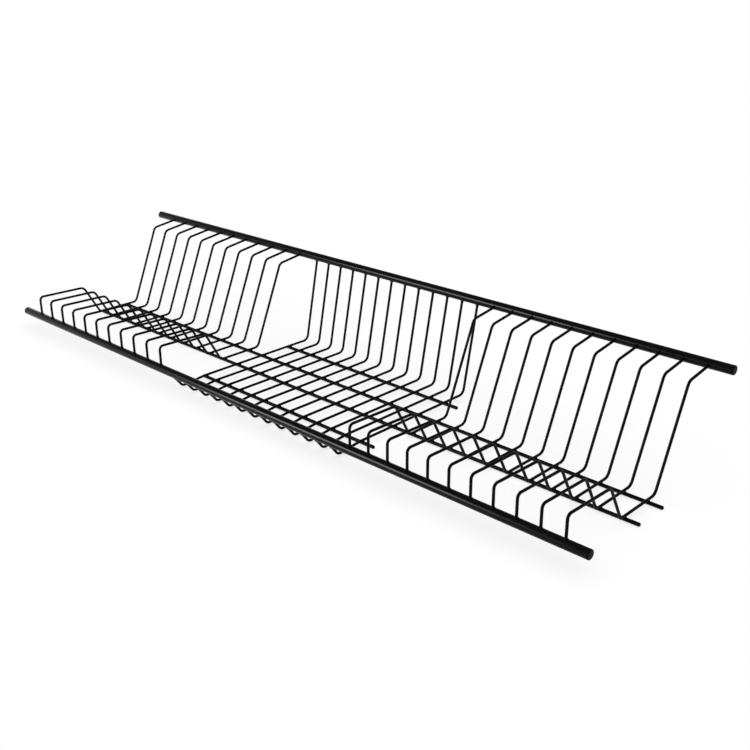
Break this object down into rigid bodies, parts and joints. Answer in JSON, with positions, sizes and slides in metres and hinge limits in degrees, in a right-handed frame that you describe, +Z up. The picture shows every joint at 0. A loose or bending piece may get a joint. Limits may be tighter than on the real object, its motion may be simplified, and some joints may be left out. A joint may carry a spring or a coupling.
{
  "type": "cabinet dish rack",
  "caption": "Welded wire rack held by its rail ends inside a wall cabinet: plates stand between the bent wires at both ends and cups rest on the flat middle.",
  "frame": {"origin": "middle of the rack's footprint, level with the undersides of its rods", "axes": "+X along the rails to the right end, -Y to the front, +Z up"},
  "size_m": [1.164, 0.3098, 0.1511],
  "materials": {
    "rail_coat": "satin black powder coat",
    "wire_coat": "satin black powder coat",
    "plug_plastic": "matte black moulded plastic"
  },
  "bodies": {
    "root": {"back_left_end_plug": "plug_plastic", "back_long_rod": "wire_coat", "back_middle_rod": "wire_coat", "back_rail": "rail_coat", "back_right_end_plug": "plug_plastic", "front_left_end_plug": "plug_plastic", "front_long_rod": "wire_coat", "front_middle_rod": "wire_coat", "front_rail": "rail_coat", "front_right_end_plug": "plug_plastic", "left_plate_wire_01": "wire_coat", "left_plate_wire_02": "wire_coat", "left_plate_wire_03": "wire_coat", "left_plate_wire_04": "wire_coat", "left_plate_wire_05": "wire_coat", "left_plate_wire_06": "wire_coat", "left_plate_wire_07": "wire_coat", "left_plate_wire_08": "wire_coat", "left_plate_wire_09": "wire_coat", "left_plate_wire_10": "wire_coat", "left_plate_wire_11": "wire_coat", "middle_wire_01": "wire_coat", "middle_wire_02": "wire_coat", "middle_wire_03": "wire_coat", "middle_wire_04": "wire_coat", "middle_wire_05": "wire_coat", "middle_wire_06": "wire_coat", "middle_wire_07": "wire_coat", "middle_wire_08": "wire_coat", "middle_wire_09": "wire_coat", "middle_wire_10": "wire_coat", "middle_wire_11": "wire_coat", "middle_wire_12": "wire_coat", "middle_wire_13": "wire_coat", "right_plate_wire_01": "wire_coat", "right_plate_wire_02": "wire_coat", "right_plate_wire_03": "wire_coat", "right_plate_wire_04": "wire_coat", "right_plate_wire_05": "wire_coat", "right_plate_wire_06": "wire_coat", "right_plate_wire_07": "wire_coat", "right_plate_wire_08": "wire_coat", "right_plate_wire_09": "wire_coat", "right_plate_wire_10": "wire_coat", "right_plate_wire_11": "wire_coat"}
  },
  "joints": []
}
